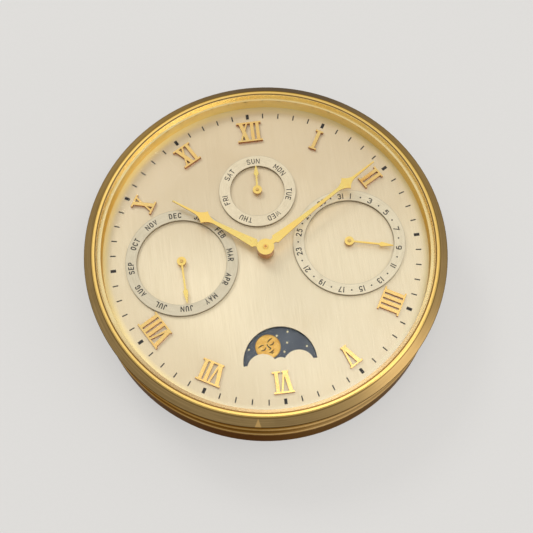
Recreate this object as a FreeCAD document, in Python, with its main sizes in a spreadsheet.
"""Desk clock with triple calendar and moon phase, lying on its back, dial up.

Millimetres. +Z is the dial's outward normal, -Y points to 6 o'clock, +X to 3 o'clock.
The origin is the centre of the rear rim, the plane that the clock rests on.
Names that end in _height are measured from that plane, names in _rise from the dial.
"""
import FreeCAD, Part
import Sketcher
import math
import os
import re

V = FreeCAD.Vector
# ---- case ----
dial_thickness = 1.0
dial_lap = 0.7
dial_seat_width = 4.4
bezel_radius = 67.5
bezel_width = 6.3
bezel_edge_drop = 1.65
bezel_edge_width = 0.5
bezel_undercut = 1.5
lip_height = 1.7
lip_chamfer = 0.5
lip_width = 1.4
skirt_wall = 1.0
glass_drop = 0.95
crystal_seat_width = 1.4
crystal_thickness = 1.5
crystal_bulge = 5.85
drum_rise = 3.3
drum_inset = 1.1
drum_chamfer = 0.5
bead_height = 0.3
groove_depth = 1.0
upper_bead_drop = 7.4
bead_pitch = 7.3
bead_width = 1.2
groove_width = 0.9
rim_width = 5.4
recess_depth = 5.6
cover_thickness = 1.0
fit_gap = 0.15
press_gap = 0.05
running_gap = 0.04
cover_screw_count = 4
cover_screw_turn = 45.0
cover_screw_inset = 1.8
screw_head_radius = 1.6
screw_head_thickness = 0.7
screw_shank_radius = 0.9
screw_length = 3.4

# ---- folding stand ----
stand_gap = 1.4
stand_hinge_inset = 27.0
stand_foot_gap = 7.5
stand_section = 3.0
stand_pin_radius = 1.0
stand_pin_length = 3.6
bracket_thickness = 3.0
bracket_width = 5.0
bracket_gap = 0.4
bracket_base = 0.6

# ---- dial furniture ----
subdial_gap = 10.5
day_ring_gap = 6.4
moon_clearance = 0.7
ring_height = 1.2
big_ring_width = 4.25
day_ring_radius = 14.65
day_ring_width = 4.3
numeral_margin = 10.8
numeral_clearance = 0.25
numeral_height = 8.3
numeral_thickness = 1.2
bar_height = 0.65
bar_overhang = 0.45
stem_pitch = 2.1
stem_width = 1.3
wide_pitch = 4.5
thick_stroke = 1.45
thin_stroke = 0.7
diagonal_inset = 0.35
window_radius = 13.5
window_drop = 0.1
hump_radius = 5.8
hump_offset = 6.6
hump_drop = 2.0
middle_hump_radius = 3.2
middle_hump_drop = 1.4

# ---- hands ----
minute_turn = -57.2
hour_turn = 53.7
day_turn = -3.4
date_turn = -103.8
month_turn = -178.6
minute_tip_gap = 7.6
hour_tip_gap = 6.0
hand_spade_back = 13.9
hand_waist_back = 18.0
hand_needle_back = 9.6
spade_width = 5.4
spade_hollow = 6.0
needle_width = 1.0
tip_width = 0.5
hand_hub_radius = 3.2
hand_neck_width = 2.0
hand_neck_length = 4.1
hand_root_width = 3.6
hand_root_slope = 0.6
hand_taper_hollow = 300.0
hand_waist_width = 1.3
hand_thickness = 0.55
hour_hub_rise = 2.4
hour_hub_height = 2.5
hand_gap = 0.1
minute_hub_height = 1.7
arbor_tip = 0.25
small_hub_rise = 1.3
small_hub_height = 0.9
small_hand_thickness = 0.4
small_hub_radius = 1.75
small_shaft_width = 0.7
small_spade_width = 1.9
small_tip_width = 0.3
small_hand_gap = 0.35
day_hand_head = 3.4
big_hand_head = 4.5

# ---- movement ----
plate_thickness = 1.4
movement_gap = 2.2
plate_gap = 6.0
rear_plate_clearance = 1.6
front_plate_across = 38.0
front_plate_margin = 5.5
front_plate_gap = 7.5
rear_plate_corner = 5.0
front_plate_corner = 12.0
pillar_radius = 1.8
pillar_across = 19.5
pillar_inset = 7.0
pillar_edge = 4.5
foot_radius = 1.3
foot_across = 30.0
foot_up = 24.0
barrel_offset = 25.0
barrel_teeth = 48
barrel_module = 0.56
barrel_height = 3.6
barrel_wall = 0.9
barrel_rise = 0.4
mainspring_band = 5.5
link_pinion_teeth = 8
link_wheel_teeth = 36
link_module = 0.5
link_wheel_rise = 4.4
centre_pinion_teeth = 8
centre_wheel_teeth = 48
centre_module = 0.38
centre_wheel_rise = 2.2
third_pinion_teeth = 6
third_wheel_teeth = 45
third_module = 0.34
third_wheel_rise = 3.5
fourth_pinion_teeth = 6
fourth_wheel_teeth = 48
fourth_module = 0.3
fourth_wheel_rise = 1.0
escape_pinion_teeth = 6
escape_teeth = 15
escape_radius = 4.2
escape_rise = 3.8
escape_depth = 1.2
third_direction = 60.0
fourth_direction = 30.0
escape_direction = 100.0
pallet_direction = 172.8
pallet_reach = 6.4
balance_direction = 174.0
balance_reach = 9.5
wheel_thickness = 0.5
wheel_rim = 1.1
wheel_arms = 4
wheel_arm_width = 1.0
wheel_arm_corner = 40.0
pinion_width = 1.1
arbor_radius = 0.5
wheel_tooth_top = 0.8
pinion_tooth_top = 0.5
tooth_root = 1.2
wheel_gap_half = 1.0
pinion_gap_half = 1.2
fork_arm_reach = 2.4
fork_arm_spread = 2.5
fork_arm_width = 0.7
fork_lever = 7.8
fork_hub_radius = 1.0
balance_radius = 7.0
balance_rim = 1.0
balance_rise = 0.8
balance_thickness = 1.0
balance_arm_width = 1.2
roller_radius = 1.0
hairspring_quarters = 9
hairspring_start = 1.6
hairspring_pitch = 1.3
hairspring_strip = 0.25
hairspring_rise = 2.3
hairspring_width = 0.6
cock_thickness = 1.0
cock_hub_radius = 2.4
cock_width = 3.36
cock_length = 13.0
cock_turn = 215.0
cock_boss_radius = 1.2
cock_boss_height = 0.9
staff_opening = 1.3
lever_thickness = 0.5
lever_ring = 0.9
lever_width = 1.2
lever_reach = 8.0
lever_pin_radius = 0.5
lever_pin_length = 2.6
lever_swing = 20.0
centre_arbor_radius = 1.0
sleeve_wall = 0.36
winding_arbor_radius = 1.4

# ---- motion work and calendar ----
cannon_teeth = 12
minute_wheel_teeth = 36
motion_module = 0.5
minute_pinion_teeth = 10
hour_wheel_teeth = 40
minute_wheel_direction = 225.0
day_pinion_teeth = 12
day_wheel_teeth = 24
day_module = 0.6
day_wheel_direction = 45.0
hour_pipe_radius = 1.9
cannon_rise = 0.4
minute_wheel_rise = 0.8
hour_wheel_rise = 2.0
day_wheel_rise = 3.0
post_radius = 0.6
hub_wall = 0.8
finger_reach = 8.6
finger_width = 1.2
finger_turn = 20.0
star_rise = 3.8
star_thickness = 0.5
star_gap_reach = 1.2
star_gap_sweep = 150.0
day_star_points = 7
day_star_radius = 10.0
day_star_depth = 3.2
date_star_points = 31
date_star_inset = 5.1
date_star_depth = 1.6
month_star_points = 12
month_star_radius = 12.0
month_star_depth = 2.4
moon_disc_radius = 14.2
moon_disc_rise = 5.1
moon_disc_gap = 0.5
moon_tooth_depth = 0.6
moon_teeth = 59

# ---- pieces in the rear recess ----
knob_radius = 7.0
knob_gap = 1.0
knob_thickness = 3.2
knob_flute_radius = 0.9
knob_flutes = 16
key_hub_radius = 3.6
key_gap = 0.6
key_hub_length = 4.0
key_bow_width = 5.04
key_wing_thickness = 1.6
key_wing_reach = 9.5
key_wing_radius = 4.2
key_hole_radius = 2.0
ratchet_radius = 6.0
ratchet_teeth = 24
ratchet_depth = 0.7
saw_gap_sweep = 320.0
ratchet_thickness = 0.6
ratchet_gap = 0.5
click_offset = 9.2
click_turn = 330.0
click_radius = 1.1
click_arm_width = 0.9
click_reach = 2.9
click_clearance = 0.3
push_head_radius = 2.0
push_head_thickness = 1.0
push_travel = 1.5
push_gap = 0.3
push_rod_radius = 1.0
push_tip_radius = 0.4
push_tip_length = 1.2
push_tip_drop = 0.5
push_margin = 1.3
push_guide_gap = 0.25

# ---- sizes that follow from the driving dimensions above ----
follows = {
    "drum_radius": "(bezel_radius - drum_inset)",
    "bead_radius": "(drum_radius + bead_height)",
    "groove_radius": "(drum_radius - groove_depth)",
    "recess_radius": "(drum_radius - rim_width)",
    "cover_screw_circle": "(recess_radius - cover_screw_inset)",
    "skirt_radius": "(bezel_radius - bezel_width)",
    "dial_radius": "(skirt_radius + dial_lap)",
    "bore_radius": "(dial_radius - dial_seat_width)",
    "cover_top": "(recess_depth + cover_thickness)",
    "rear_plate_height": "(cover_top + movement_gap)",
    "rear_plate_top": "(rear_plate_height + plate_thickness)",
    "front_plate_height": "(rear_plate_top + plate_gap)",
    "front_plate_top": "(front_plate_height + plate_thickness)",
    "dial_bottom": "(front_plate_top + moon_disc_rise + star_thickness + moon_disc_gap)",
    "dial_height": "(dial_bottom + dial_thickness)",
    "drum_top": "(dial_height + drum_rise)",
    "upper_bead_height": "(drum_top - upper_bead_drop)",
    "lower_bead_height": "(upper_bead_height - bead_pitch)",
    "minute_hub_rise": "(hour_hub_rise + hour_hub_height + hand_gap)",
    "crystal_seat": "(dial_height + minute_hub_rise + minute_hub_height - glass_drop)",
    "lip_top": "(crystal_seat + lip_height)",
    "bezel_edge": "(crystal_seat - bezel_edge_drop)",
    "numeral_foot": "(skirt_radius - numeral_margin - numeral_height / 2)",
    "numeral_head": "(numeral_foot + numeral_height)",
    "widest_half": "((wide_pitch + 3 * stem_pitch) / 2 + bar_overhang)",
    "corner_across": "(numeral_foot * cos(30) + widest_half * sin(30) - subdial_gap)",
    "corner_up": "(numeral_foot * sin(30) - widest_half * cos(30))",
    "corner_room": "(corner_across^2 + corner_up^2 - numeral_clearance^2)",
    "big_ring_radius": "(corner_room / (2 * (corner_across + numeral_clearance)))",
    "subdial_offset": "(subdial_gap + big_ring_radius)",
    "day_offset": "(numeral_foot - day_ring_gap - day_ring_radius)",
    "moon_offset": "(bore_radius - moon_clearance - moon_disc_radius)",
    "date_star_radius": "(big_ring_radius - date_star_inset)",
    "day_pusher_up": "(day_offset + day_star_radius + push_margin)",
    "date_pusher_across": "(subdial_offset + date_star_radius + push_margin)",
    "month_pusher_across": "(subdial_offset + month_star_radius + push_margin)",
    "minute_length": "(skirt_radius - minute_tip_gap)",
    "hour_length": "(numeral_foot - hour_tip_gap)",
    "day_hand_length": "(day_ring_radius - day_ring_width - small_hand_gap)",
    "big_hand_length": "(big_ring_radius - big_ring_width - small_hand_gap)",
    "rear_plate_across": "(pillar_across + pillar_edge)",
    "rear_plate_up": "(day_pusher_up - rear_plate_clearance)",
    "rear_plate_down": "(moon_offset - rear_plate_clearance)",
    "front_plate_up": "(day_pusher_up + front_plate_margin)",
    "front_plate_down": "(bore_radius - front_plate_gap)",
    "pillar_up": "(rear_plate_up - pillar_inset)",
    "pillar_down": "(rear_plate_down - pillar_inset)",
    "stand_across": "(month_pusher_across - push_head_radius - stand_gap - stand_section / 2)",
    "stand_hinge_up": "(recess_radius - stand_hinge_inset)",
    "stand_height": "(recess_depth / 2)",
    "knob_height": "(recess_depth - knob_gap - knob_thickness)",
    "key_height": "(recess_depth - key_gap - key_hub_length)",
    "push_head_height": "(recess_depth - push_travel - push_gap - push_head_thickness)",
    "cock_height": "(rear_plate_height - cock_thickness)",
}

# ---- the document and its sheet, a cell for each driving dimension ----
doc = FreeCAD.newDocument("DeskClock")
sheet = doc.addObject("Spreadsheet::Sheet", "Sizes")
sizes = {name: value for name, value in dict(globals()).items() if isinstance(value, (int, float))}
for row, (name, value) in enumerate(sizes.items(), 1):
    sheet.set("A%d" % row, name)
    sheet.set("B%d" % row, str(value))
    sheet.setAlias("B%d" % row, name)
doc.recompute()
nodes = []


# ---- expressions ----
def cells(text):
    """Turn the size names in an expression into references to the sheet's cells."""
    def reference(word):
        name = word.group()
        if name in follows:
            return cells(follows[name])
        return "Sizes." + name if name in sizes else name

    return re.sub(r"[a-z_]+", reference, text)


def number(text):
    """Work out an expression now, for a sketch's first drawing."""
    result = sheet.evalExpression(cells(text))
    return float(getattr(result, "Value", result))


def bind(thing, prop, text):
    """Bind a property to an expression in size names."""
    thing.setExpression(prop, cells(text))


def total(*texts):
    """The sum of expressions, as one expression."""
    return "(" + " + ".join(texts) + ")"


def away(centre, distance, direction):
    """The place at a distance and direction from another place."""
    x = "(%s + (%s) * cos(%s))" % (centre[0], distance, direction)
    y = "(%s + (%s) * sin(%s))" % (centre[1], distance, direction)
    return x, y


def mesh_distance(module, first_teeth, second_teeth):
    """The centre distance of two wheels that mesh."""
    return "(%s * (%s + %s) / 2)" % (module, first_teeth, second_teeth)


# ---- places that follow from the sizes ----
CENTRE = ("0", "0")
BARREL = ("0", "-barrel_offset")
BARREL_REACH = mesh_distance("barrel_module", "barrel_teeth", "link_pinion_teeth")
LINK_REACH = mesh_distance("link_module", "link_wheel_teeth", "centre_pinion_teeth")
LINK_Y = "(-(barrel_offset^2 + %s^2 - %s^2) / (2 * barrel_offset))" % (LINK_REACH, BARREL_REACH)
LINK = ("sqrt(%s^2 - %s^2)" % (LINK_REACH, LINK_Y), LINK_Y)
LINK_FROM_BARREL = "(asin((%s + barrel_offset) / %s) / 1 deg)" % (LINK_Y, BARREL_REACH)
CENTRE_FROM_LINK = "(180 - asin(-(%s) / %s) / 1 deg)" % (LINK_Y, LINK_REACH)
THIRD_REACH = mesh_distance("centre_module", "centre_wheel_teeth", "third_pinion_teeth")
THIRD = away(CENTRE, THIRD_REACH, "third_direction")
FOURTH_REACH = mesh_distance("third_module", "third_wheel_teeth", "fourth_pinion_teeth")
FOURTH = away(THIRD, FOURTH_REACH, "fourth_direction")
ESCAPE_REACH = mesh_distance("fourth_module", "fourth_wheel_teeth", "escape_pinion_teeth")
ESCAPE = away(FOURTH, ESCAPE_REACH, "escape_direction")
PALLET = away(ESCAPE, "pallet_reach", "pallet_direction")
BALANCE = away(PALLET, "balance_reach", "balance_direction")
MOTION_REACH = mesh_distance("motion_module", "cannon_teeth", "minute_wheel_teeth")
HOUR_MODULE = "(2 * %s / (minute_pinion_teeth + hour_wheel_teeth))" % MOTION_REACH
MINUTE_WHEEL = away(CENTRE, MOTION_REACH, "minute_wheel_direction")
DAY_WHEEL_REACH = mesh_distance("day_module", "day_pinion_teeth", "day_wheel_teeth")
DAY_WHEEL = away(CENTRE, DAY_WHEEL_REACH, "day_wheel_direction")
DAY = ("0", "day_offset")
DATE = ("subdial_offset", "0")
MONTH = ("-subdial_offset", "0")
MOON = ("0", "-moon_offset")
DAY_PUSHER = ("0", "day_pusher_up")
DATE_PUSHER = ("date_pusher_across", "0")
MONTH_PUSHER = ("-month_pusher_across", "0")
MOON_PUSHER = ("(moon_disc_radius + push_margin)", "-moon_offset")
COCK_FOOT = away(BALANCE, "cock_length", "cock_turn")


# ---- bodies, sketches and features ----
def place(thing, x, y, z="0", turn="0"):
    """Bind a thing's placement: where it stands and its turn about Z."""
    bind(thing, "Placement.Rotation.Angle", turn)
    bind(thing, "Placement.Base.x", x)
    bind(thing, "Placement.Base.y", y)
    bind(thing, "Placement.Base.z", z)


def new_body(name, spot=CENTRE, turn="0"):
    """Start the PartDesign body of one sub-part."""
    body = doc.addObject("PartDesign::Body", name)
    body.Label = name
    body.AllowCompound = True
    place(body, spot[0], spot[1], "0", turn)
    nodes.append(body)
    return body


def origin_feature(body, role):
    """Find one of a body's own origin planes or axes."""
    for feature in body.Origin.OriginFeatures:
        if feature.Role == role:
            return feature
    raise ValueError("no " + role)


def sketch_on(body, role, low="0", turn="0"):
    """Attach a new sketch to an origin plane, lifted and turned."""
    sketch = body.newObject("Sketcher::SketchObject", "Sketch")
    sketch.AttachmentSupport = [(origin_feature(body, role), "")]
    sketch.MapMode = "FlatFace"
    bind(sketch, "AttachmentOffset.Base.z", low)
    bind(sketch, "AttachmentOffset.Rotation.Angle", turn)
    return sketch


def fix_point(sketch, index, end, x, y):
    """Bind one vertex of a sketch to its two coordinates."""
    for axis, kind, text in ((-2, "DistanceX", x), (-1, "DistanceY", y)):
        if text == "0":
            sketch.addConstraint(Sketcher.Constraint("PointOnObject", index, end, axis))
            continue
        constraint = sketch.addConstraint(Sketcher.Constraint(kind, -1, 1, index, end, number(text)))
        bind(sketch, "Constraints[%d]" % constraint, text)


def arc_between(start, finish, radius, side):
    """The minor arc from one point to another, turning left (side 1) or right (side -1)."""
    chord = finish - start
    middle = (start + finish) * 0.5
    rise = math.sqrt(max(radius ** 2 - chord.Length ** 2 / 4, 0.0))
    normal = V(-chord.y, chord.x, 0).normalize()
    centre = middle + normal * rise * side
    circle = Part.Circle(centre, V(0, 0, 1), radius)
    first, last = (start, finish) if side > 0 else (finish, start)
    return Part.ArcOfCircle(circle, circle.parameter(first), circle.parameter(last))


def outline(sketch, points):
    """Draw a closed outline. A point is (x, y), or (x, y, radius, side) where an arc runs on to the next."""
    places = [V(number(point[0]), number(point[1]), 0) for point in points]
    first = sketch.GeometryCount
    count = len(points)
    starts = []
    for index, point in enumerate(points):
        start = places[index]
        finish = places[(index + 1) % count]
        if len(point) == 4:
            sketch.addGeometry(arc_between(start, finish, number(point[2]), point[3]))
            starts.append(1 if point[3] > 0 else 2)
        else:
            sketch.addGeometry(Part.LineSegment(start, finish))
            starts.append(1)
    for index in range(count):
        following = (index + 1) % count
        ends = 3 - starts[index]
        join = Sketcher.Constraint("Coincident", first + index, ends, first + following, starts[following])
        sketch.addConstraint(join)
    for index, point in enumerate(points):
        fix_point(sketch, first + index, starts[index], point[0], point[1])
        if len(point) == 4:
            radius = Sketcher.Constraint("Radius", first + index, number(point[2]))
            bind(sketch, "Constraints[%d]" % sketch.addConstraint(radius), point[2])


def mirrored(right):
    """Close an outline that is drawn up its right side with the mirrored left side."""
    left = []
    for index in range(len(right) - 1, -1, -1):
        arc = right[index - 1][2:] if index > 0 else ()
        left.append(("-(%s)" % right[index][0], right[index][1]) + tuple(arc))
    return right + left


def rectangle(left, bottom, right, top):
    """The four corners of an upright rectangle."""
    return [(left, bottom), (right, bottom), (right, top), (left, top)]


def pad(body, points, low, height, turn="0"):
    """Pad an outline upward from a height."""
    sketch = sketch_on(body, "XY_Plane", low, turn)
    outline(sketch, points)
    feature = body.newObject("PartDesign::Pad", "Pad")
    feature.Profile = sketch
    bind(feature, "Length", height)
    return feature


def pocket(body, points, low, height, turn="0"):
    """Cut an outline upward from a height."""
    sketch = sketch_on(body, "XY_Plane", low, turn)
    outline(sketch, points)
    feature = body.newObject("PartDesign::Pocket", "Pocket")
    feature.Profile = sketch
    feature.Reversed = True
    bind(feature, "Length", height)
    return feature


def turned(body, points):
    """Turn a profile of (radius, height) points about the body's Z axis."""
    sketch = sketch_on(body, "XZ_Plane")
    outline(sketch, points)
    feature = body.newObject("PartDesign::Revolution", "Turned")
    feature.Profile = sketch
    feature.ReferenceAxis = (sketch, ["V_Axis"])
    feature.Angle = 360
    return feature


def ring(body, inner, outer, low, high):
    """Turn a plain ring or, with no inner radius, a disc."""
    return turned(body, [(inner, low), (outer, low), (outer, high), (inner, high)])


def around(body, feature, count):
    """Repeat a feature round the body's Z axis."""
    pattern = body.newObject("PartDesign::PolarPattern", "Pattern")
    pattern.Originals = [feature]
    pattern.Axis = (origin_feature(body, "Z_Axis"), [""])
    pattern.Angle = 360
    bind(pattern, "Occurrences", count)
    body.Tip = pattern
    return pattern


def round_piece(body, kind, radius, low, height, spot):
    """Add or cut a cylinder: kind is Additive or Subtractive."""
    feature = body.newObject("PartDesign::%sCylinder" % kind, kind + "Round")
    bind(feature, "Radius", radius)
    bind(feature, "Height", height)
    place(feature, spot[0], spot[1], low)
    return feature


def disc(body, radius, low, height, spot=CENTRE):
    """Add a cylinder."""
    return round_piece(body, "Additive", radius, low, height, spot)


def bore(body, radius, low, height, spot=CENTRE):
    """Cut a cylinder, through and a little past both faces."""
    low = total(low, "-fit_gap")
    return round_piece(body, "Subtractive", radius, low, total(height, "2 * fit_gap"), spot)


# ---- gears ----
def arbor(body, inner, radius, low, high, steps):
    """Turn an arbor with its discs: each step is (radius, low, high), from the bottom up."""
    points = [(inner, low), (radius, low)]
    for step_radius, step_low, step_high in steps:
        points += [(radius, step_low), (step_radius, step_low), (step_radius, step_high), (radius, step_high)]
    points += [(radius, high), (inner, high)]
    return turned(body, points)


def wheel_blank(module, count):
    """The outer radius of a wheel."""
    return "(%s * (%s / 2 + wheel_tooth_top))" % (module, count)


def pinion_blank(module, count):
    """The outer radius of a pinion."""
    return "(%s * (%s / 2 + pinion_tooth_top))" % (module, count)


def teeth(body, module, count, gap_half, low, width, turn):
    """Cut V gaps round a blank, the first one in the direction turn."""
    root = "(%s * (%s / 2 - tooth_root))" % (module, count)
    deep = "(%s * (tooth_root + 2 * wheel_tooth_top))" % module
    half = "(%s * %s / tooth_root)" % (gap_half, deep)
    far = total(root, deep)
    gap = pocket(body, [(root, "0"), (far, "-" + half), (far, half)], low, width, turn)
    around(body, gap, count)


def crossings(body, inner, outer, low, width):
    """Cut windows through a wheel's web, which leaves parallel-sided arms at right angles."""
    shift = "(wheel_arm_width * sqrt(2) / 2)"
    far = "(%s * cos(wheel_arm_corner))" % outer
    side = "(%s - %s)" % (far, shift)
    reach = "sqrt(%s^2 + %s^2)" % (far, side)
    near_side = "(%s - %s)" % (inner, shift)
    points = [(inner, "-" + near_side), (far, "-" + side, reach, 1), (far, side), (inner, near_side)]
    around(body, pocket(body, points, low, width, "(180 / wheel_arms)"), "wheel_arms")


def train_wheel(name, spot, pinion, wheel, pinion_turn, wheel_turn):
    """A going-train arbor. pinion is (module, teeth, low); wheel is (module, teeth, low)."""
    body = new_body(name, spot)
    pinion_step = (pinion_blank(pinion[0], pinion[1]), pinion[2], total(pinion[2], "pinion_width"))
    wheel_step = (wheel_blank(wheel[0], wheel[1]), wheel[2], total(wheel[2], "wheel_thickness"))
    steps = [pinion_step, wheel_step]
    if number(wheel[2]) < number(pinion[2]):
        steps.reverse()
    arbor(body, "0", "arbor_radius", PIVOT_LOW, PIVOT_HIGH, steps)
    teeth(body, pinion[0], pinion[1], "pinion_gap_half", pinion[2], "pinion_width", pinion_turn)
    teeth(body, wheel[0], wheel[1], "wheel_gap_half", wheel[2], "wheel_thickness", wheel_turn)
    rim = "(%s * (%s / 2 - tooth_root) - wheel_rim)" % (wheel[0], wheel[1])
    crossings(body, "(4 * arbor_radius)", rim, wheel[2], "wheel_thickness")
    return body


def tooth_towards(direction, count):
    """The turn that puts a tooth, not a gap, in a direction."""
    return "(%s + 180 / %s)" % (direction, count)


# ---- Part solids ----
def cylinder(radius, low, height, spot=CENTRE, sweep="360", turn="0"):
    """A Part cylinder, or a sector of one."""
    solid = doc.addObject("Part::Cylinder", "Round")
    bind(solid, "Radius", radius)
    bind(solid, "Height", height)
    bind(solid, "Angle", sweep)
    place(solid, spot[0], spot[1], low, turn)
    return solid


def fuse(solids):
    """The union of Part solids."""
    union = doc.addObject("Part::MultiFuse", "Union")
    union.Shapes = solids
    return union


def difference(base, tools):
    """Cut Part solids from another one."""
    cut = doc.addObject("Part::Cut", "Difference")
    cut.Base = base
    cut.Tool = fuse(tools) if len(tools) > 1 else tools[0]
    cut.Refine = True
    return cut


def keep(solid, name):
    """Make a Part object the node of this name."""
    solid.Label = name
    nodes.append(solid)


def collect(solids, name):
    """Keep equal pieces that are fitted in several places as one node."""
    group = doc.addObject("Part::Compound", "Group")
    group.Links = solids
    keep(group, name)


def hole(radius, low, height, spot):
    """A Part cylinder to cut with, a little longer than the plate is thick."""
    return cylinder(radius, total(low, "-fit_gap"), total(height, "2 * fit_gap"), spot)


def screw(low, spot):
    """A screw driven from the rear: its head below, its shank above the height low."""
    head = cylinder("screw_head_radius", total(low, "-screw_head_thickness"), "screw_head_thickness", spot)
    shank = cylinder("screw_shank_radius", low, "screw_length", spot)
    return fuse([head, shank])


COVER_SCREWS = []
for index in range(cover_screw_count):
    direction = "(cover_screw_turn + 360 * %d / cover_screw_count)" % index
    COVER_SCREWS.append(away(CENTRE, "cover_screw_circle", direction))
PILLARS = [
    ("pillar_across", "pillar_up"),
    ("-pillar_across", "pillar_up"),
    ("pillar_across", "-pillar_down"),
    ("-pillar_across", "-pillar_down"),
]
FEET = [
    ("foot_across", "foot_up"),
    ("-foot_across", "foot_up"),
    ("foot_across", "-foot_up"),
    ("-foot_across", "-foot_up"),
]
PUSHERS = {
    "day_corrector": DAY_PUSHER,
    "date_corrector": DATE_PUSHER,
    "month_corrector": MONTH_PUSHER,
    "moon_corrector": MOON_PUSHER,
}
SCREW_HOLE = "(screw_shank_radius + press_gap)"
PIVOT_HOLE = "(arbor_radius + running_gap)"
PIVOT_LOW = "(rear_plate_height + plate_thickness / 2)"
PIVOT_HIGH = total("front_plate_height", "plate_thickness / 2")


# ---- case ----
def make_drum():
    """The drum: two beads and grooves outside, a dial seat and a recess for the rear cover inside."""
    lower = "lower_bead_height"
    upper = "upper_bead_height"
    dial_pocket = total("skirt_radius", "skirt_wall", "press_gap")
    body = new_body("case_drum")
    turned(body, [
        ("recess_radius", "0"),
        ("(drum_radius - drum_chamfer)", "0"),
        ("drum_radius", "drum_chamfer"),
        ("drum_radius", "(%s - bead_width / 2 - 2 * groove_width)" % lower),
        ("groove_radius", "(%s - bead_width / 2 - 1.5 * groove_width)" % lower),
        ("groove_radius", "(%s - bead_width / 2 - groove_width)" % lower),
        ("bead_radius", "(%s - bead_width / 2)" % lower),
        ("bead_radius", "(%s + bead_width / 2)" % lower),
        ("groove_radius", "(%s - bead_width / 2 - 2 * groove_width)" % upper),
        ("groove_radius", "(%s - bead_width / 2 - groove_width)" % upper),
        ("bead_radius", "(%s - bead_width / 2)" % upper),
        ("bead_radius", "(%s + bead_width / 2)" % upper),
        ("groove_radius", "drum_top"),
        (dial_pocket, "drum_top"),
        (dial_pocket, "dial_bottom"),
        ("bore_radius", "dial_bottom"),
        ("bore_radius", "cover_top"),
        ("recess_radius", "cover_top"),
    ])
    hole_depth = "(screw_length - cover_thickness + fit_gap)"
    first = bore(body, SCREW_HOLE, "cover_top", hole_depth, COVER_SCREWS[0])
    around(body, first, "cover_screw_count")


def make_bezel():
    """The bezel: a skirt on the dial's edge, a cone outside and a lip round the crystal."""
    skirt = total("skirt_radius", "skirt_wall")
    lip_inside = "(skirt_radius + crystal_seat_width)"
    lip_outside = total(lip_inside, "lip_width")
    turned(new_body("bezel_ring"), [
        ("skirt_radius", "dial_height"),
        (skirt, "dial_height"),
        (skirt, "drum_top"),
        ("(bezel_radius - bezel_undercut)", "drum_top"),
        ("bezel_radius", "bezel_edge"),
        ("bezel_radius", "(bezel_edge + bezel_edge_width)"),
        (total(lip_outside, "lip_chamfer"), "(lip_top - lip_chamfer)"),
        (lip_outside, "lip_top"),
        (lip_inside, "lip_top"),
        (lip_inside, "crystal_seat"),
        ("skirt_radius", "crystal_seat"),
    ])


def make_crystal():
    """The domed crystal, a shell of even thickness."""
    edge = "(skirt_radius + crystal_seat_width - fit_gap)"
    chord = "(%s - crystal_thickness)" % edge
    inside = "((%s^2 + crystal_bulge^2) / (2 * crystal_bulge))" % chord
    outside = "((%s^2 + crystal_bulge^2) / (2 * crystal_bulge))" % edge
    edge_top = "(crystal_seat + crystal_thickness)"
    turned(new_body("crystal"), [
        (edge, "crystal_seat"),
        (edge, edge_top, outside, 1),
        ("0", total(edge_top, "crystal_bulge")),
        ("0", "(crystal_seat + crystal_bulge)", inside, -1),
        (chord, "crystal_seat"),
    ])


def make_back_cover():
    """The rear cover, with its holes for the arbors, correctors and screws and the regulator's slot."""
    plate = cylinder("(recess_radius - fit_gap)", "recess_depth", "cover_thickness")
    tools = [hole("(centre_arbor_radius + push_guide_gap)", "recess_depth", "cover_thickness", CENTRE)]
    tools.append(hole("(winding_arbor_radius + push_guide_gap)", "recess_depth", "cover_thickness", BARREL))
    for spot in PUSHERS.values():
        tools.append(hole("(push_rod_radius + running_gap)", "recess_depth", "cover_thickness", spot))
    for spot in COVER_SCREWS:
        tools.append(hole(SCREW_HOLE, "recess_depth", "cover_thickness", spot))
    slot_half = "(lever_pin_radius + push_guide_gap)"
    sweep = "(2 * lever_swing + 4 * %s / lever_reach * 180 / pi)" % slot_half
    low = "(recess_depth - fit_gap)"
    height = "(cover_thickness + 2 * fit_gap)"
    sector = cylinder("(lever_reach + %s)" % slot_half, low, height, BALANCE, sweep, "(90 - %s / 2)" % sweep)
    core = cylinder("(lever_reach - %s)" % slot_half, low, height, BALANCE)
    tools.append(difference(sector, [core]))
    keep(difference(plate, tools), "back_cover")
    collect([screw("recess_depth", spot) for spot in COVER_SCREWS], "cover_screws")


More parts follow.
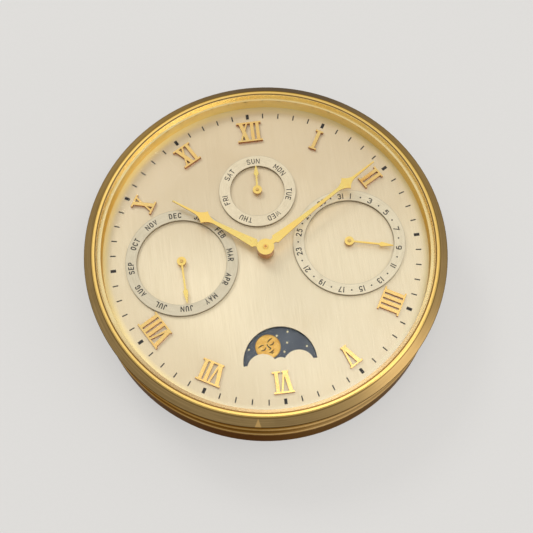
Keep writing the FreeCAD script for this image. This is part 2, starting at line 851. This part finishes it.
def make_stand():
    """The folding stand: a square bail on two hinge brackets."""
    outer = "(stand_across + stand_section / 2)"
    inner = "(stand_across - stand_section / 2)"
    top = "(stand_hinge_up + stand_section / 2)"
    knee = "(%s + stand_foot_gap - recess_radius)" % outer
    low = "(stand_height - stand_section / 2)"
    bail = new_body("folding_stand")
    pad(bail, [
        (outer, top),
        (inner, top),
        (inner, knee, inner, -1),
        ("0", "(%s - %s)" % (knee, inner), inner, -1),
        ("-" + inner, knee),
        ("-" + inner, top),
        ("-" + outer, top),
        ("-" + outer, knee, outer, 1),
        ("0", "(%s - %s)" % (knee, outer), outer, 1),
        (outer, knee),
    ], low, "stand_section")
    for side, turn in (("", "90"), ("-", "-90")):
        end = (side + outer, "stand_hinge_up")
        pin = disc(bail, "stand_pin_radius", "stand_height", "stand_pin_length", end)
        pin.Placement = FreeCAD.Placement(V(0, 0, 0), FreeCAD.Rotation(V(0, 1, 0), float(turn)))
        bind(pin, "Placement.Rotation.Angle", turn)
    brackets = []
    for side in ("", "-"):
        near = total(outer, "bracket_gap")
        block = doc.addObject("Part::Box", "Bracket")
        bind(block, "Length", "bracket_thickness")
        bind(block, "Width", "bracket_width")
        bind(block, "Height", "(recess_depth - bracket_base)")
        corner = near if side == "" else "(-%s - bracket_thickness)" % near
        place(block, corner, "(stand_hinge_up - bracket_width / 2)", "bracket_base")
        eye = doc.addObject("Part::Cylinder", "Eye")
        bind(eye, "Radius", "(stand_pin_radius + running_gap)")
        bind(eye, "Height", "(bracket_thickness + 2 * fit_gap)")
        eye.Placement = FreeCAD.Placement(V(0, 0, 0), FreeCAD.Rotation(V(0, 1, 0), 90))
        bind(eye, "Placement.Base.x", total(corner, "-fit_gap"))
        bind(eye, "Placement.Base.y", "stand_hinge_up")
        bind(eye, "Placement.Base.z", "stand_height")
        brackets.append(difference(block, [eye]))
    collect(brackets, "stand_brackets")


# ---- dial ----
def make_dial():
    """The dial plate, with its feet, the moon's double-humped window and a hole for each hand's arbor."""
    plate = cylinder("dial_radius", "dial_bottom", "dial_thickness")
    foot_length = "(dial_bottom - front_plate_height)"
    feet = [cylinder("foot_radius", "front_plate_height", foot_length, spot) for spot in FEET]
    tools = [hole("(hour_pipe_radius + fit_gap)", "dial_bottom", "dial_thickness", CENTRE)]
    for spot in (DAY, DATE, MONTH):
        tools.append(hole("(post_radius + fit_gap)", "dial_bottom", "dial_thickness", spot))
    low = total("dial_bottom", "-fit_gap")
    height = "(dial_thickness + 2 * fit_gap)"
    hump_y = "-(moon_offset + hump_drop)"
    humps = [
        cylinder("hump_radius", low, height, ("hump_offset", hump_y)),
        cylinder("hump_radius", low, height, ("-hump_offset", hump_y)),
        cylinder("middle_hump_radius", low, height, ("0", "-(moon_offset + middle_hump_drop)")),
    ]
    below = doc.addObject("Part::Box", "BelowWindow")
    bind(below, "Length", "(2 * window_radius)")
    bind(below, "Width", "(2 * window_radius)")
    bind(below, "Height", height)
    place(below, "-window_radius", "(-moon_offset - window_drop - 2 * window_radius)", low)
    tools.append(difference(cylinder("window_radius", low, height, MOON), humps + [below]))
    keep(difference(fuse([plate] + feet), tools), "dial_plate")
    rings = (
        ("day_ring", DAY, "day_ring_radius", "day_ring_width"),
        ("date_ring", DATE, "big_ring_radius", "big_ring_width"),
        ("month_ring", MONTH, "big_ring_radius", "big_ring_width"),
    )
    for name, spot, radius, width in rings:
        inner = "(%s - %s)" % (radius, width)
        ring(new_body(name, spot), inner, radius, "dial_height", "(dial_height + ring_height)")


def numeral_bar(body, left, right, low):
    """A serif bar across a numeral."""
    high = total(low, "bar_height")
    pad(body, rectangle(left, low, right, high), "dial_height", "numeral_thickness")


def stroke(body, foot, foot_width, head, head_width):
    """One straight stroke from the inner to the outer edge of a numeral."""
    inner_edge = [(foot, "numeral_foot"), (total(foot, foot_width), "numeral_foot")]
    outer_edge = [(total(head, head_width), "numeral_head"), (head, "numeral_head")]
    pad(body, inner_edge + outer_edge, "dial_height", "numeral_thickness")


def numeral(letters, hour):
    """An applied Roman numeral, feet to the centre, with serif bars along both ends."""
    body = new_body("numeral_" + letters.lower(), CENTRE, str(360 - 30 * hour))
    low = "numeral_foot"
    high = "(numeral_head - bar_height)"
    stems = letters.count("I")
    half = "((%d * wide_pitch + %d * stem_pitch) / 2)" % (len(letters) - stems, stems)
    numeral_bar(body, "-(%s + bar_overhang)" % half, "(%s + bar_overhang)" % half, high)
    middle = "-" + half
    inner_bar = "-(%s + bar_overhang)" % half
    for index, letter in enumerate(letters):
        pitch = "stem_pitch" if letter == "I" else "wide_pitch"
        middle = total(middle, pitch + " / 2")
        if letter == "I":
            stem = total(middle, "-stem_width / 2")
            stroke(body, stem, "stem_width", stem, "stem_width")
        elif letter == "V":
            inner_bar = total(middle, "-thick_stroke / 2", "-bar_overhang")
            apex = total(middle, "-thick_stroke / 2")
            stroke(body, apex, "thick_stroke", total(middle, "-wide_pitch / 2"), "thick_stroke")
            thin_apex = total(middle, "thick_stroke / 2", "-thin_stroke")
            thin_head = total(middle, "wide_pitch / 2", "-thin_stroke")
            stroke(body, thin_apex, "thin_stroke", thin_head, "thin_stroke")
            if stems < 2:
                numeral_bar(body, inner_bar, total(middle, "thick_stroke / 2", "bar_overhang"), low)
                inner_bar = total(middle, "wide_pitch / 2", "-bar_overhang")
        else:
            reach = "(wide_pitch / 2 - diagonal_inset)"
            foot = total(middle, reach, "-thick_stroke")
            stroke(body, foot, "thick_stroke", total(middle, "-" + reach), "thick_stroke")
            thin_head = total(middle, reach, "-thin_stroke")
            stroke(body, total(middle, "-" + reach), "thin_stroke", thin_head, "thin_stroke")
        middle = total(middle, pitch + " / 2")
    if letters != "V":
        numeral_bar(body, inner_bar, "(%s + bar_overhang)" % half, low)


# ---- hands ----
def main_hand(name, turn, hub_low, hub_height, blade_low, bore_radius, length):
    """A main hand: hub, stepped root, hollow taper to a waist, a lozenge with hollow flanks and a needle."""
    body = new_body(name, CENTRE, turn)
    ring(body, bore_radius, "hand_hub_radius", hub_low, total(hub_low, hub_height))
    start = "(hand_hub_radius - hand_neck_width / 4)"
    pad(body, mirrored([
        ("hand_neck_width / 2", start),
        ("hand_neck_width / 2", "hand_neck_length"),
        ("hand_root_width / 2", "(hand_neck_length + hand_root_slope)", "hand_taper_hollow", -1),
        ("hand_waist_width / 2", "(%s - hand_waist_back)" % length, "spade_hollow", -1),
        ("spade_width / 2", "(%s - hand_spade_back)" % length, "spade_hollow", -1),
        ("needle_width / 2", "(%s - hand_needle_back)" % length),
        ("tip_width / 2", length),
    ]), blade_low, "hand_thickness")


def small_hand(name, spot, turn, head, length):
    """A calendar hand: a round eye, a thin shaft and a small arrow head."""
    body = new_body(name, spot, turn)
    low = "(dial_height + small_hub_rise)"
    ring(body, "(post_radius + press_gap)", "small_hub_radius", low, total(low, "small_hub_height"))
    pad(body, mirrored([
        ("small_shaft_width / 2", "(small_hub_radius - small_shaft_width / 2)"),
        ("small_shaft_width / 2", "(%s - %s - small_spade_width / 2)" % (length, head)),
        ("small_spade_width / 2", "(%s - %s)" % (length, head)),
        ("small_tip_width / 2", length),
    ]), total(low, "small_hub_height / 2"), "small_hand_thickness")


def make_hands():
    """The two main hands and the three calendar hands."""
    minute_low = "(dial_height + minute_hub_rise)"
    minute_blade = total(minute_low, "minute_hub_height", "-hand_thickness")
    hour_low = "(dial_height + hour_hub_rise)"
    hour_blade = total(hour_low, "hour_hub_height", "-2 * hand_thickness")
    main_hand("minute_hand", "minute_turn", minute_low, "minute_hub_height", minute_blade,
              "(centre_arbor_radius + press_gap)", "minute_length")
    main_hand("hour_hand", "hour_turn", hour_low, "hour_hub_height", hour_blade,
              "(hour_pipe_radius + press_gap)", "hour_length")
    small_hand("day_hand", DAY, "day_turn", "day_hand_head", "day_hand_length")
    small_hand("date_hand", DATE, "date_turn", "big_hand_head", "big_hand_length")
    small_hand("month_hand", MONTH, "month_turn", "big_hand_head", "big_hand_length")


# ---- movement: plates ----
def plate_outline(across, up, down, corner):
    """An eight-sided plate outline."""
    return mirrored([
        ("(%s - %s)" % (across, corner), "-" + down),
        (across, "-(%s - %s)" % (down, corner)),
        (across, "(%s - %s)" % (up, corner)),
        ("(%s - %s)" % (across, corner), up),
    ])


def make_plates():
    """The two movement plates, their pillars and screws."""
    rear = new_body("rear_plate")
    rear_edge = plate_outline("rear_plate_across", "rear_plate_up", "rear_plate_down", "rear_plate_corner")
    pad(rear, rear_edge, "rear_plate_height", "plate_thickness")
    front = new_body("front_plate")
    front_edge = plate_outline("front_plate_across", "front_plate_up", "front_plate_down",
                               "front_plate_corner")
    pad(front, front_edge, "front_plate_height", "plate_thickness")
    holes = [(spot, PIVOT_HOLE) for spot in (LINK, THIRD, FOURTH, ESCAPE, PALLET)]
    holes.append((CENTRE, "(centre_arbor_radius + running_gap)"))
    holes.append((BARREL, "(winding_arbor_radius + running_gap)"))
    for spot, radius in holes:
        bore(rear, radius, "rear_plate_height", "plate_thickness", spot)
        bore(front, radius, "front_plate_height", "plate_thickness", spot)
    for spot in PILLARS + [COCK_FOOT]:
        bore(rear, SCREW_HOLE, "rear_plate_height", "plate_thickness", spot)
    bore(rear, "staff_opening", "rear_plate_height", "plate_thickness", BALANCE)
    bore(front, PIVOT_HOLE, "front_plate_height", "plate_thickness", BALANCE)
    for spot in FEET:
        bore(front, "(foot_radius + press_gap)", "front_plate_height", "plate_thickness", spot)
    for spot in (DAY, DATE, MONTH, MOON):
        bore(front, "(post_radius + running_gap)", "front_plate_height", "plate_thickness", spot)
    for spot in (DAY_PUSHER, MOON_PUSHER):
        bore(front, "(push_rod_radius + push_guide_gap)", "front_plate_height", "plate_thickness", spot)
    minute_top = total("hour_wheel_rise", "wheel_thickness", "fit_gap")
    disc(front, "post_radius", "front_plate_height", total("plate_thickness", minute_top), MINUTE_WHEEL)
    day_top = total("star_rise", "star_thickness", "fit_gap")
    disc(front, "post_radius", "front_plate_height", total("plate_thickness", day_top), DAY_WHEEL)
    pillars = []
    for spot in PILLARS:
        tube = cylinder("pillar_radius", "rear_plate_top", "plate_gap", spot)
        pillars.append(difference(tube, [hole(SCREW_HOLE, "rear_plate_top", "plate_gap", spot)]))
    collect(pillars, "plate_pillars")
    screws = [screw("rear_plate_height", spot) for spot in PILLARS]
    screws.append(screw("cock_height", COCK_FOOT))
    collect(screws, "plate_screws")


# ---- movement: going train and winding ----
def make_barrel():
    """The mainspring barrel, its coiled spring, the winding arbor, the ratchet wheel and its click."""
    low = total("rear_plate_top", "barrel_rise")
    high = total(low, "barrel_height")
    root = "(barrel_module * (barrel_teeth / 2 - tooth_root))"
    inside = "(%s - 2 * barrel_wall)" % root
    hub = "(winding_arbor_radius + running_gap)"
    barrel = new_body("mainspring_barrel", BARREL)
    turned(barrel, [
        (hub, low),
        (wheel_blank("barrel_module", "barrel_teeth"), low),
        (wheel_blank("barrel_module", "barrel_teeth"), total(low, "barrel_wall")),
        (total(inside, "barrel_wall"), total(low, "barrel_wall")),
        (total(inside, "barrel_wall"), high),
        (inside, high),
        (inside, total(low, "barrel_wall")),
        (hub, total(low, "barrel_wall")),
    ])
    teeth(barrel, "barrel_module", "barrel_teeth", "wheel_gap_half", low, "barrel_wall", LINK_FROM_BARREL)
    spring = new_body("mainspring", BARREL)
    spring_low = total(low, "barrel_wall")
    coil_inside = "(%s - mainspring_band)" % inside
    coil_outside = "(%s - press_gap)" % inside
    ring(spring, coil_inside, coil_outside, spring_low, "(%s - fit_gap)" % high)
    arbor_body = new_body("winding_arbor", BARREL)
    arbor(arbor_body, "0", "winding_arbor_radius", "(key_height + fit_gap)", PIVOT_HIGH, [])
    ratchet_low = "(rear_plate_height - ratchet_gap - ratchet_thickness)"
    ratchet = new_body("ratchet_wheel", BARREL)
    ratchet_bore = "(winding_arbor_radius + press_gap)"
    ring(ratchet, ratchet_bore, "ratchet_radius", ratchet_low, total(ratchet_low, "ratchet_thickness"))
    saw_teeth(ratchet, "ratchet_radius", "ratchet_depth", "ratchet_teeth", ratchet_low, "ratchet_thickness")
    make_click(ratchet_low)


def saw_teeth(body, radius, depth, count, low, width):
    """Cut gaps with one radial and one slanting flank."""
    root = "(%s - %s)" % (radius, depth)
    far = "(%s + %s)" % (radius, depth)
    side = "(%s * tan(saw_gap_sweep / %s))" % (far, count)
    around(body, pocket(body, [(root, "0"), (far, "0"), (far, side)], low, width), count)


def make_click(low):
    """The click: a pivot and a pawl that points at the ratchet's teeth."""
    tip_x = "(ratchet_radius - ratchet_depth + click_clearance)"
    click = new_body("click", BARREL, "click_turn")
    disc(click, "click_radius", low, "(rear_plate_height - %s)" % low, ("click_offset", "0"))
    pad(click, [
        ("(click_offset - click_arm_width)", "0"),
        ("click_offset", "0"),
        ("(click_offset + click_arm_width)", "0"),
        (total(tip_x, "click_arm_width"), "click_reach"),
        (tip_x, "click_reach"),
    ], low, "ratchet_thickness")


def make_train():
    """Link, centre, third, fourth and escape wheels, each meshing with the next one's pinion."""
    low = total("rear_plate_top", "barrel_rise")
    link_wheel = total("rear_plate_top", "link_wheel_rise")
    centre_wheel = total("rear_plate_top", "centre_wheel_rise")
    third_wheel = total("rear_plate_top", "third_wheel_rise")
    fourth_wheel = total("rear_plate_top", "fourth_wheel_rise")
    half = "(pinion_width - wheel_thickness) / 2"
    train_wheel(
        "link_wheel", LINK,
        ("barrel_module", "link_pinion_teeth", low),
        ("link_module", "link_wheel_teeth", link_wheel),
        tooth_towards(LINK_FROM_BARREL + " + 180", "link_pinion_teeth"),
        CENTRE_FROM_LINK,
    )
    make_centre_wheel(centre_wheel, "(%s - %s)" % (link_wheel, half))
    train_wheel(
        "third_wheel", THIRD,
        ("centre_module", "third_pinion_teeth", "(%s - %s)" % (centre_wheel, half)),
        ("third_module", "third_wheel_teeth", third_wheel),
        tooth_towards("third_direction + 180", "third_pinion_teeth"),
        "fourth_direction",
    )
    train_wheel(
        "fourth_wheel", FOURTH,
        ("third_module", "fourth_pinion_teeth", "(%s - %s)" % (third_wheel, half)),
        ("fourth_module", "fourth_wheel_teeth", fourth_wheel),
        tooth_towards("fourth_direction + 180", "fourth_pinion_teeth"),
        "escape_direction",
    )
    make_escape_wheel("(%s - %s)" % (fourth_wheel, half))


def make_centre_wheel(wheel_low, pinion_low):
    """The centre wheel: a sleeve, friction-tight on the centre arbor, with a pinion and a wheel."""
    body = new_body("centre_wheel")
    inner = "(centre_arbor_radius + running_gap)"
    wheel_top = total(wheel_low, "wheel_thickness")
    wheel_step = (wheel_blank("centre_module", "centre_wheel_teeth"), wheel_low, wheel_top)
    pinion_top = total(pinion_low, "pinion_width")
    pinion_step = (pinion_blank("link_module", "centre_pinion_teeth"), pinion_low, pinion_top)
    sleeve_low = total("rear_plate_top", "fit_gap")
    sleeve_high = total("front_plate_height", "-fit_gap")
    arbor(body, inner, total(inner, "sleeve_wall"), sleeve_low, sleeve_high, [wheel_step, pinion_step])
    pinion_turn = tooth_towards(CENTRE_FROM_LINK + " + 180", "centre_pinion_teeth")
    teeth(body, "link_module", "centre_pinion_teeth", "pinion_gap_half", pinion_low, "pinion_width",
          pinion_turn)
    teeth(body, "centre_module", "centre_wheel_teeth", "wheel_gap_half", wheel_low, "wheel_thickness",
          "third_direction")
    rim = "(centre_module * (centre_wheel_teeth / 2 - tooth_root) - wheel_rim)"
    crossings(body, "(2 * centre_arbor_radius + wheel_arm_width)", rim, wheel_low, "wheel_thickness")


def make_escape_wheel(pinion_low):
    """The escape wheel and its pinion."""
    body = new_body("escape_wheel", ESCAPE)
    wheel_low = total("rear_plate_top", "escape_rise")
    arbor(body, "0", "arbor_radius", PIVOT_LOW, PIVOT_HIGH, [
        (pinion_blank("fourth_module", "escape_pinion_teeth"), pinion_low, total(pinion_low, "pinion_width")),
        ("escape_radius", wheel_low, total(wheel_low, "wheel_thickness")),
    ])
    pinion_turn = tooth_towards("escape_direction + 180", "escape_pinion_teeth")
    teeth(body, "fourth_module", "escape_pinion_teeth", "pinion_gap_half", pinion_low, "pinion_width",
          pinion_turn)
    saw_teeth(body, "escape_radius", "escape_depth", "escape_teeth", wheel_low, "wheel_thickness")


def make_escapement():
    """The pallet fork, the balance with its spring, the balance cock and the regulator lever."""
    fork_low = total("rear_plate_top", "escape_rise")
    fork = new_body("pallet_fork", PALLET, "(pallet_direction - 180)")
    arbor(fork, "0", "arbor_radius", PIVOT_LOW, PIVOT_HIGH, [
        ("fork_hub_radius", fork_low, total(fork_low, "wheel_thickness")),
    ])
    half = "(fork_arm_width / 2)"
    pad(fork, [
        ("-" + half, half),
        ("-fork_lever", "(%s / 2)" % half),
        ("-fork_lever", "(-%s / 2)" % half),
        ("-" + half, "-" + half),
        ("(fork_arm_reach - fork_arm_width)", "-fork_arm_spread"),
        ("fork_arm_reach", "-fork_arm_spread"),
        ("fork_arm_width", "0"),
        ("fork_arm_reach", "fork_arm_spread"),
        ("(fork_arm_reach - fork_arm_width)", "fork_arm_spread"),
    ], fork_low, "wheel_thickness")

    balance = new_body("balance_wheel", BALANCE)
    low = total("rear_plate_top", "balance_rise")
    high = total(low, "balance_thickness")
    roller_low = total("rear_plate_top", "escape_rise")
    arbor(balance, "0", "arbor_radius", "cock_height", PIVOT_HIGH, [
        ("roller_radius", low, high),
        ("roller_radius", roller_low, total(roller_low, "wheel_thickness")),
    ])
    ring(balance, "(balance_radius - balance_rim)", "balance_radius", low, high)
    arm = "(balance_radius - balance_rim / 2)"
    arm_half = "(balance_arm_width / 2)"
    pad(balance, rectangle("-" + arm, "-" + arm_half, arm, arm_half), low, "(balance_thickness / 2)")
    make_hairspring()

    cock = new_body("balance_cock", BALANCE, "cock_turn")
    boss_low = "(cock_height - cock_boss_height)"
    disc(cock, "cock_hub_radius", "cock_height", "cock_thickness")
    disc(cock, "cock_boss_radius", boss_low, "cock_boss_height")
    disc(cock, "cock_hub_radius", "cock_height", "cock_thickness", ("cock_length", "0"))
    cock_half = "(cock_width / 2)"
    pad(cock, rectangle("0", "-" + cock_half, "cock_length", cock_half), "cock_height", "cock_thickness")
    bore(cock, PIVOT_HOLE, boss_low, "(cock_boss_height + cock_thickness)")
    bore(cock, SCREW_HOLE, "cock_height", "cock_thickness", ("cock_length", "0"))

    lever = new_body("regulator_lever", BALANCE)
    lever_low = total(boss_low, "fit_gap")
    inner = "(cock_boss_radius + running_gap)"
    ring(lever, inner, total(inner, "lever_ring"), lever_low, total(lever_low, "lever_thickness"))
    start = total(inner, "lever_ring / 2")
    lever_half = "(lever_width / 2)"
    pad(lever, rectangle("-" + lever_half, start, lever_half, "lever_reach"), lever_low, "lever_thickness")
    pin_low = "(%s - lever_pin_length)" % lever_low
    disc(lever, "lever_width / 2", lever_low, "lever_thickness", ("0", "lever_reach"))
    disc(lever, "lever_pin_radius", pin_low, "lever_pin_length", ("0", "lever_reach"))


def make_hairspring():
    """The balance spring: a flat strip on a spiral of quarter arcs."""
    outer_side = []
    inner_side = []
    for quarter in range(hairspring_quarters + 1):
        radius = "(hairspring_start + hairspring_pitch * %d / 4)" % quarter
        arc = "(hairspring_start + hairspring_pitch * (%d + 0.5) / 4)" % quarter
        back_arc = "(hairspring_start + hairspring_pitch * (%d - 0.5) / 4)" % quarter
        x, y = away(CENTRE, radius, str(90 * quarter))
        u, w = away(CENTRE, "(%s - hairspring_strip)" % radius, str(90 * quarter))
        outer_side.append((x, y, arc, 1) if quarter < hairspring_quarters else (x, y))
        inner_side.append((u, w, "(%s - hairspring_strip)" % back_arc, -1) if quarter > 0 else (u, w))
    body = new_body("balance_spring", BALANCE)
    low = total("rear_plate_top", "hairspring_rise")
    pad(body, outer_side + inner_side[::-1], low, "hairspring_width")


# ---- motion work and calendar ----
def make_motion_work():
    """The centre arbor with its cannon pinion, the minute wheel, the hour wheel and the 24-hour wheel."""
    base = "front_plate_top"
    cannon_low = total(base, "cannon_rise")
    minute_low = total(base, "minute_wheel_rise")
    hour_low = total(base, "hour_wheel_rise")
    day_low = total(base, "day_wheel_rise")
    centre = new_body("centre_arbor")
    centre_top = "(dial_height + minute_hub_rise + minute_hub_height + arbor_tip)"
    cannon_top = total(minute_low, "wheel_thickness", "fit_gap")
    arbor(centre, "0", "centre_arbor_radius", "(knob_height + fit_gap)", centre_top, [
        (wheel_blank("motion_module", "cannon_teeth"), cannon_low, cannon_top),
    ])
    cannon_width = "(%s - %s)" % (cannon_top, cannon_low)
    teeth(centre, "motion_module", "cannon_teeth", "wheel_gap_half", cannon_low, cannon_width,
          "minute_wheel_direction")

    minute = new_body("minute_wheel", MINUTE_WHEEL)
    post = "(post_radius + running_gap)"
    hub = total(post, "hub_wall")
    pinion_low = total(minute_low, "wheel_thickness")
    pinion_high = total(hour_low, "wheel_thickness")
    turned(minute, [
        (post, minute_low),
        (wheel_blank("motion_module", "minute_wheel_teeth"), minute_low),
        (wheel_blank("motion_module", "minute_wheel_teeth"), pinion_low),
        (wheel_blank(HOUR_MODULE, "minute_pinion_teeth"), pinion_low),
        (wheel_blank(HOUR_MODULE, "minute_pinion_teeth"), pinion_high),
        (post, pinion_high),
    ])
    to_centre = "minute_wheel_direction + 180"
    wheel_turn = tooth_towards(to_centre, "minute_wheel_teeth")
    teeth(minute, "motion_module", "minute_wheel_teeth", "wheel_gap_half", minute_low, "wheel_thickness",
          wheel_turn)
    pinion_width = "(%s - %s)" % (pinion_high, pinion_low)
    teeth(minute, HOUR_MODULE, "minute_pinion_teeth", "wheel_gap_half", pinion_low, pinion_width, to_centre)
    rim = "(motion_module * (minute_wheel_teeth / 2 - tooth_root) - wheel_rim)"
    inner = total(wheel_blank(HOUR_MODULE, "minute_pinion_teeth"), "fit_gap")
    crossings(minute, inner, rim, minute_low, "wheel_thickness")

    hour = new_body("hour_wheel")
    pipe_bore = "(centre_arbor_radius + running_gap)"
    pipe_low = "(%s - fit_gap)" % hour_low
    pipe_high = "(dial_height + hour_hub_rise + hour_hub_height)"
    pinion_top = total(day_low, "wheel_thickness", "fit_gap")
    arbor(hour, pipe_bore, "hour_pipe_radius", pipe_low, pipe_high, [
        (wheel_blank(HOUR_MODULE, "hour_wheel_teeth"), hour_low, total(hour_low, "wheel_thickness")),
        (wheel_blank("day_module", "day_pinion_teeth"), "(%s - fit_gap)" % day_low, pinion_top),
    ])
    hour_gap = tooth_towards("minute_wheel_direction", "hour_wheel_teeth")
    teeth(hour, HOUR_MODULE, "hour_wheel_teeth", "wheel_gap_half", hour_low, "wheel_thickness", hour_gap)
    width = "(wheel_thickness + 2 * fit_gap)"
    pinion_start = "(%s - fit_gap)" % day_low
    teeth(hour, "day_module", "day_pinion_teeth", "wheel_gap_half", pinion_start, width,
          "day_wheel_direction")
    rim = "(%s * (hour_wheel_teeth / 2 - tooth_root) - wheel_rim)" % HOUR_MODULE
    crossings(hour, "(2 * hour_pipe_radius)", rim, hour_low, "wheel_thickness")

    day = new_body("day_wheel", DAY_WHEEL)
    finger_low = total(base, "star_rise")
    finger_top = total(finger_low, "star_thickness")
    arbor(day, post, hub, "(%s - fit_gap)" % day_low, finger_top, [
        (wheel_blank("day_module", "day_wheel_teeth"), day_low, total(day_low, "wheel_thickness")),
    ])
    day_gap = tooth_towards("day_wheel_direction + 180", "day_wheel_teeth")
    teeth(day, "day_module", "day_wheel_teeth", "wheel_gap_half", day_low, "wheel_thickness", day_gap)
    finger_half = "(finger_width / 2)"
    root = total(post, "hub_wall / 2")
    finger = [(root, "-" + finger_half), ("finger_reach", "-%s / 2" % finger_half),
              ("finger_reach", "%s / 2" % finger_half), (root, finger_half)]
    pad(day, finger, finger_low, "star_thickness", "finger_turn")


def star(name, spot, count, radius, depth, rise, top):
    """A star wheel on its arbor; the moon's disc is one with fine teeth and no hand."""
    body = new_body(name, spot)
    low = total("front_plate_top", rise)
    arbor(body, "0", "post_radius", total("front_plate_height", "plate_thickness / 2"), top, [
        (radius, low, total(low, "star_thickness")),
    ])
    root = "(%s - %s)" % (radius, depth)
    far = "(%s * star_gap_reach)" % radius
    half = "(%s * tan(star_gap_sweep / %s))" % (far, count)
    notch = [(root, "0"), (far, "-" + half), (far, half)]
    around(body, pocket(body, notch, low, "star_thickness", "(180 / %s)" % count), count)


def make_calendar():
    """The day, date and month star wheels and the moon disc."""
    hand_top = "(dial_height + small_hub_rise + small_hub_height + arbor_tip)"
    for name, spot in (("day", DAY), ("date", DATE), ("month", MONTH)):
        wheel = name + "_star"
        star(wheel, spot, wheel + "_points", wheel + "_radius", wheel + "_depth", "star_rise", hand_top)
    moon_top = total("front_plate_top", "moon_disc_rise", "star_thickness", "fit_gap")
    star("moon_disc", MOON, "moon_teeth", "moon_disc_radius", "moon_tooth_depth", "moon_disc_rise", moon_top)


# ---- pieces worked by hand from the rear ----
def make_controls():
    """The setting knob, the winding key and the four correctors."""
    knob = new_body("setting_knob")
    knob_high = "(knob_height + knob_thickness)"
    ring(knob, "(centre_arbor_radius + press_gap)", "knob_radius", "knob_height", knob_high)
    flute = bore(knob, "knob_flute_radius", "knob_height", "knob_thickness", ("knob_radius", "0"))
    around(knob, flute, "knob_flutes")

    key = new_body("winding_key", BARREL)
    disc(key, "key_hub_radius", "key_height", "key_hub_length")
    for side in ("", "-"):
        disc(key, "key_wing_radius", "key_height", "key_wing_thickness", ("0", side + "key_wing_reach"))
    bow_half = "(key_bow_width / 2)"
    bow = rectangle("-" + bow_half, "-key_wing_reach", bow_half, "key_wing_reach")
    pad(key, bow, "key_height", "key_wing_thickness")
    for side in ("", "-"):
        bore(key, "key_hole_radius", "key_height", "key_wing_thickness", ("0", side + "key_wing_reach"))
    bore(key, "(winding_arbor_radius + press_gap)", "key_height", "key_hub_length")

    head_top = total("push_head_height", "push_head_thickness")
    tip = "(front_plate_top + star_rise - push_tip_drop)"
    for name, spot in PUSHERS.items():
        turned(new_body(name, spot), [
            ("0", "push_head_height"),
            ("push_head_radius", "push_head_height"),
            ("push_head_radius", head_top),
            ("push_rod_radius", head_top),
            ("push_rod_radius", "(%s - push_tip_length)" % tip),
            ("push_tip_radius", tip),
            ("0", tip),
        ])


make_drum()
make_bezel()
make_crystal()
make_back_cover()
make_stand()
make_dial()
for letters, hour in (("XII", 12), ("I", 1), ("II", 2), ("IIII", 4), ("V", 5), ("VI", 6),
                      ("VII", 7), ("VIII", 8), ("X", 10), ("XI", 11)):
    numeral(letters, hour)
make_hands()
make_plates()
make_barrel()
make_train()
make_escapement()
make_motion_work()
make_calendar()
make_controls()
doc.recompute()

# ---- checks and export ----
for thing in doc.Objects:
    if "Invalid" in thing.State or "Error" in thing.State:
        raise ValueError("%s (%s) failed" % (thing.Name, thing.Label))
    if thing.TypeId in ("PartDesign::Pocket", "PartDesign::SubtractiveCylinder"):
        if thing.Shape.Volume > thing.BaseFeature.Shape.Volume - 1e-6:
            raise ValueError("%s cuts nothing" % thing.Name)
os.makedirs("parts", exist_ok=True)
for node in nodes:
    if node.Shape.isNull() or not node.Shape.isValid():
        raise ValueError("%s has no valid shape" % node.Label)
    node.Shape.exportStep(os.path.join("parts", node.Label + ".step"))
    box = node.Shape.BoundBox
    print(node.Label, len(node.Shape.Solids), "solids, z %.2f to %.2f" % (box.ZMin, box.ZMax))
